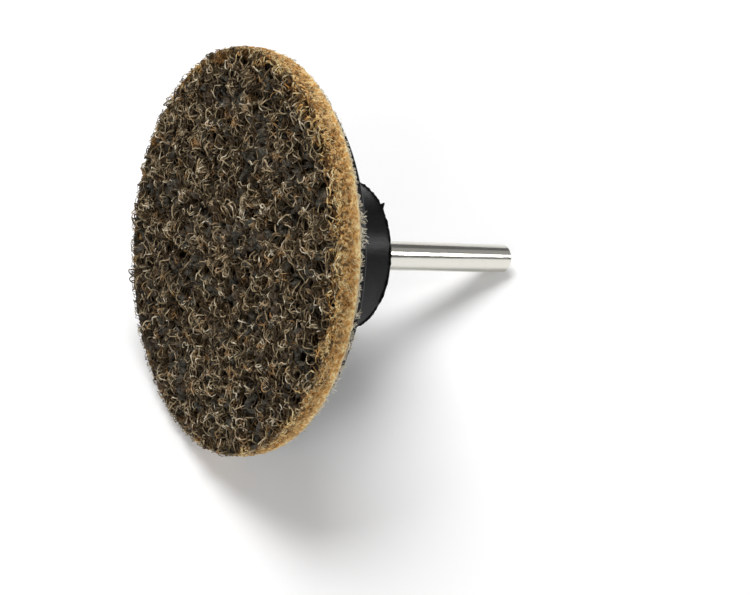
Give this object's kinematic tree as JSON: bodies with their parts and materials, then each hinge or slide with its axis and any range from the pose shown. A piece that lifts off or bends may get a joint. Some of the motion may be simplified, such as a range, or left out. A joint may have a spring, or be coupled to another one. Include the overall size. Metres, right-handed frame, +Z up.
{
  "type": "surface conditioning disc on holder",
  "caption": "Round non-woven abrasive disc, screwed by its moulded button on a rubber holder pad with a plain round steel shank, lying on its rim and the shank's end",
  "frame": {"origin": "on the floor, under the middle of the tool's box as it lies", "axes": "+Z up; the shank points to +X and slopes down to the floor, the abrasive face looks to -X and up; the tool's axis lies in the XZ plane"},
  "size_m": [0.0796, 0.075, 0.0678],
  "materials": {
    "web": "open curled fibres with resin and grain",
    "scrim": "woven, matt",
    "button_plastic": "moulded, satin",
    "pad_rubber": "moulded, satin",
    "plated_steel": "turned and plated",
    "shank_steel": "polished along the round"
  },
  "bodies": {
    "root": {"abrasive_web": "web", "scrim_backing": "scrim", "button": "button_plastic", "backing_pad": "pad_rubber", "threaded_insert": "plated_steel", "shank": "shank_steel"}
  },
  "joints": []
}
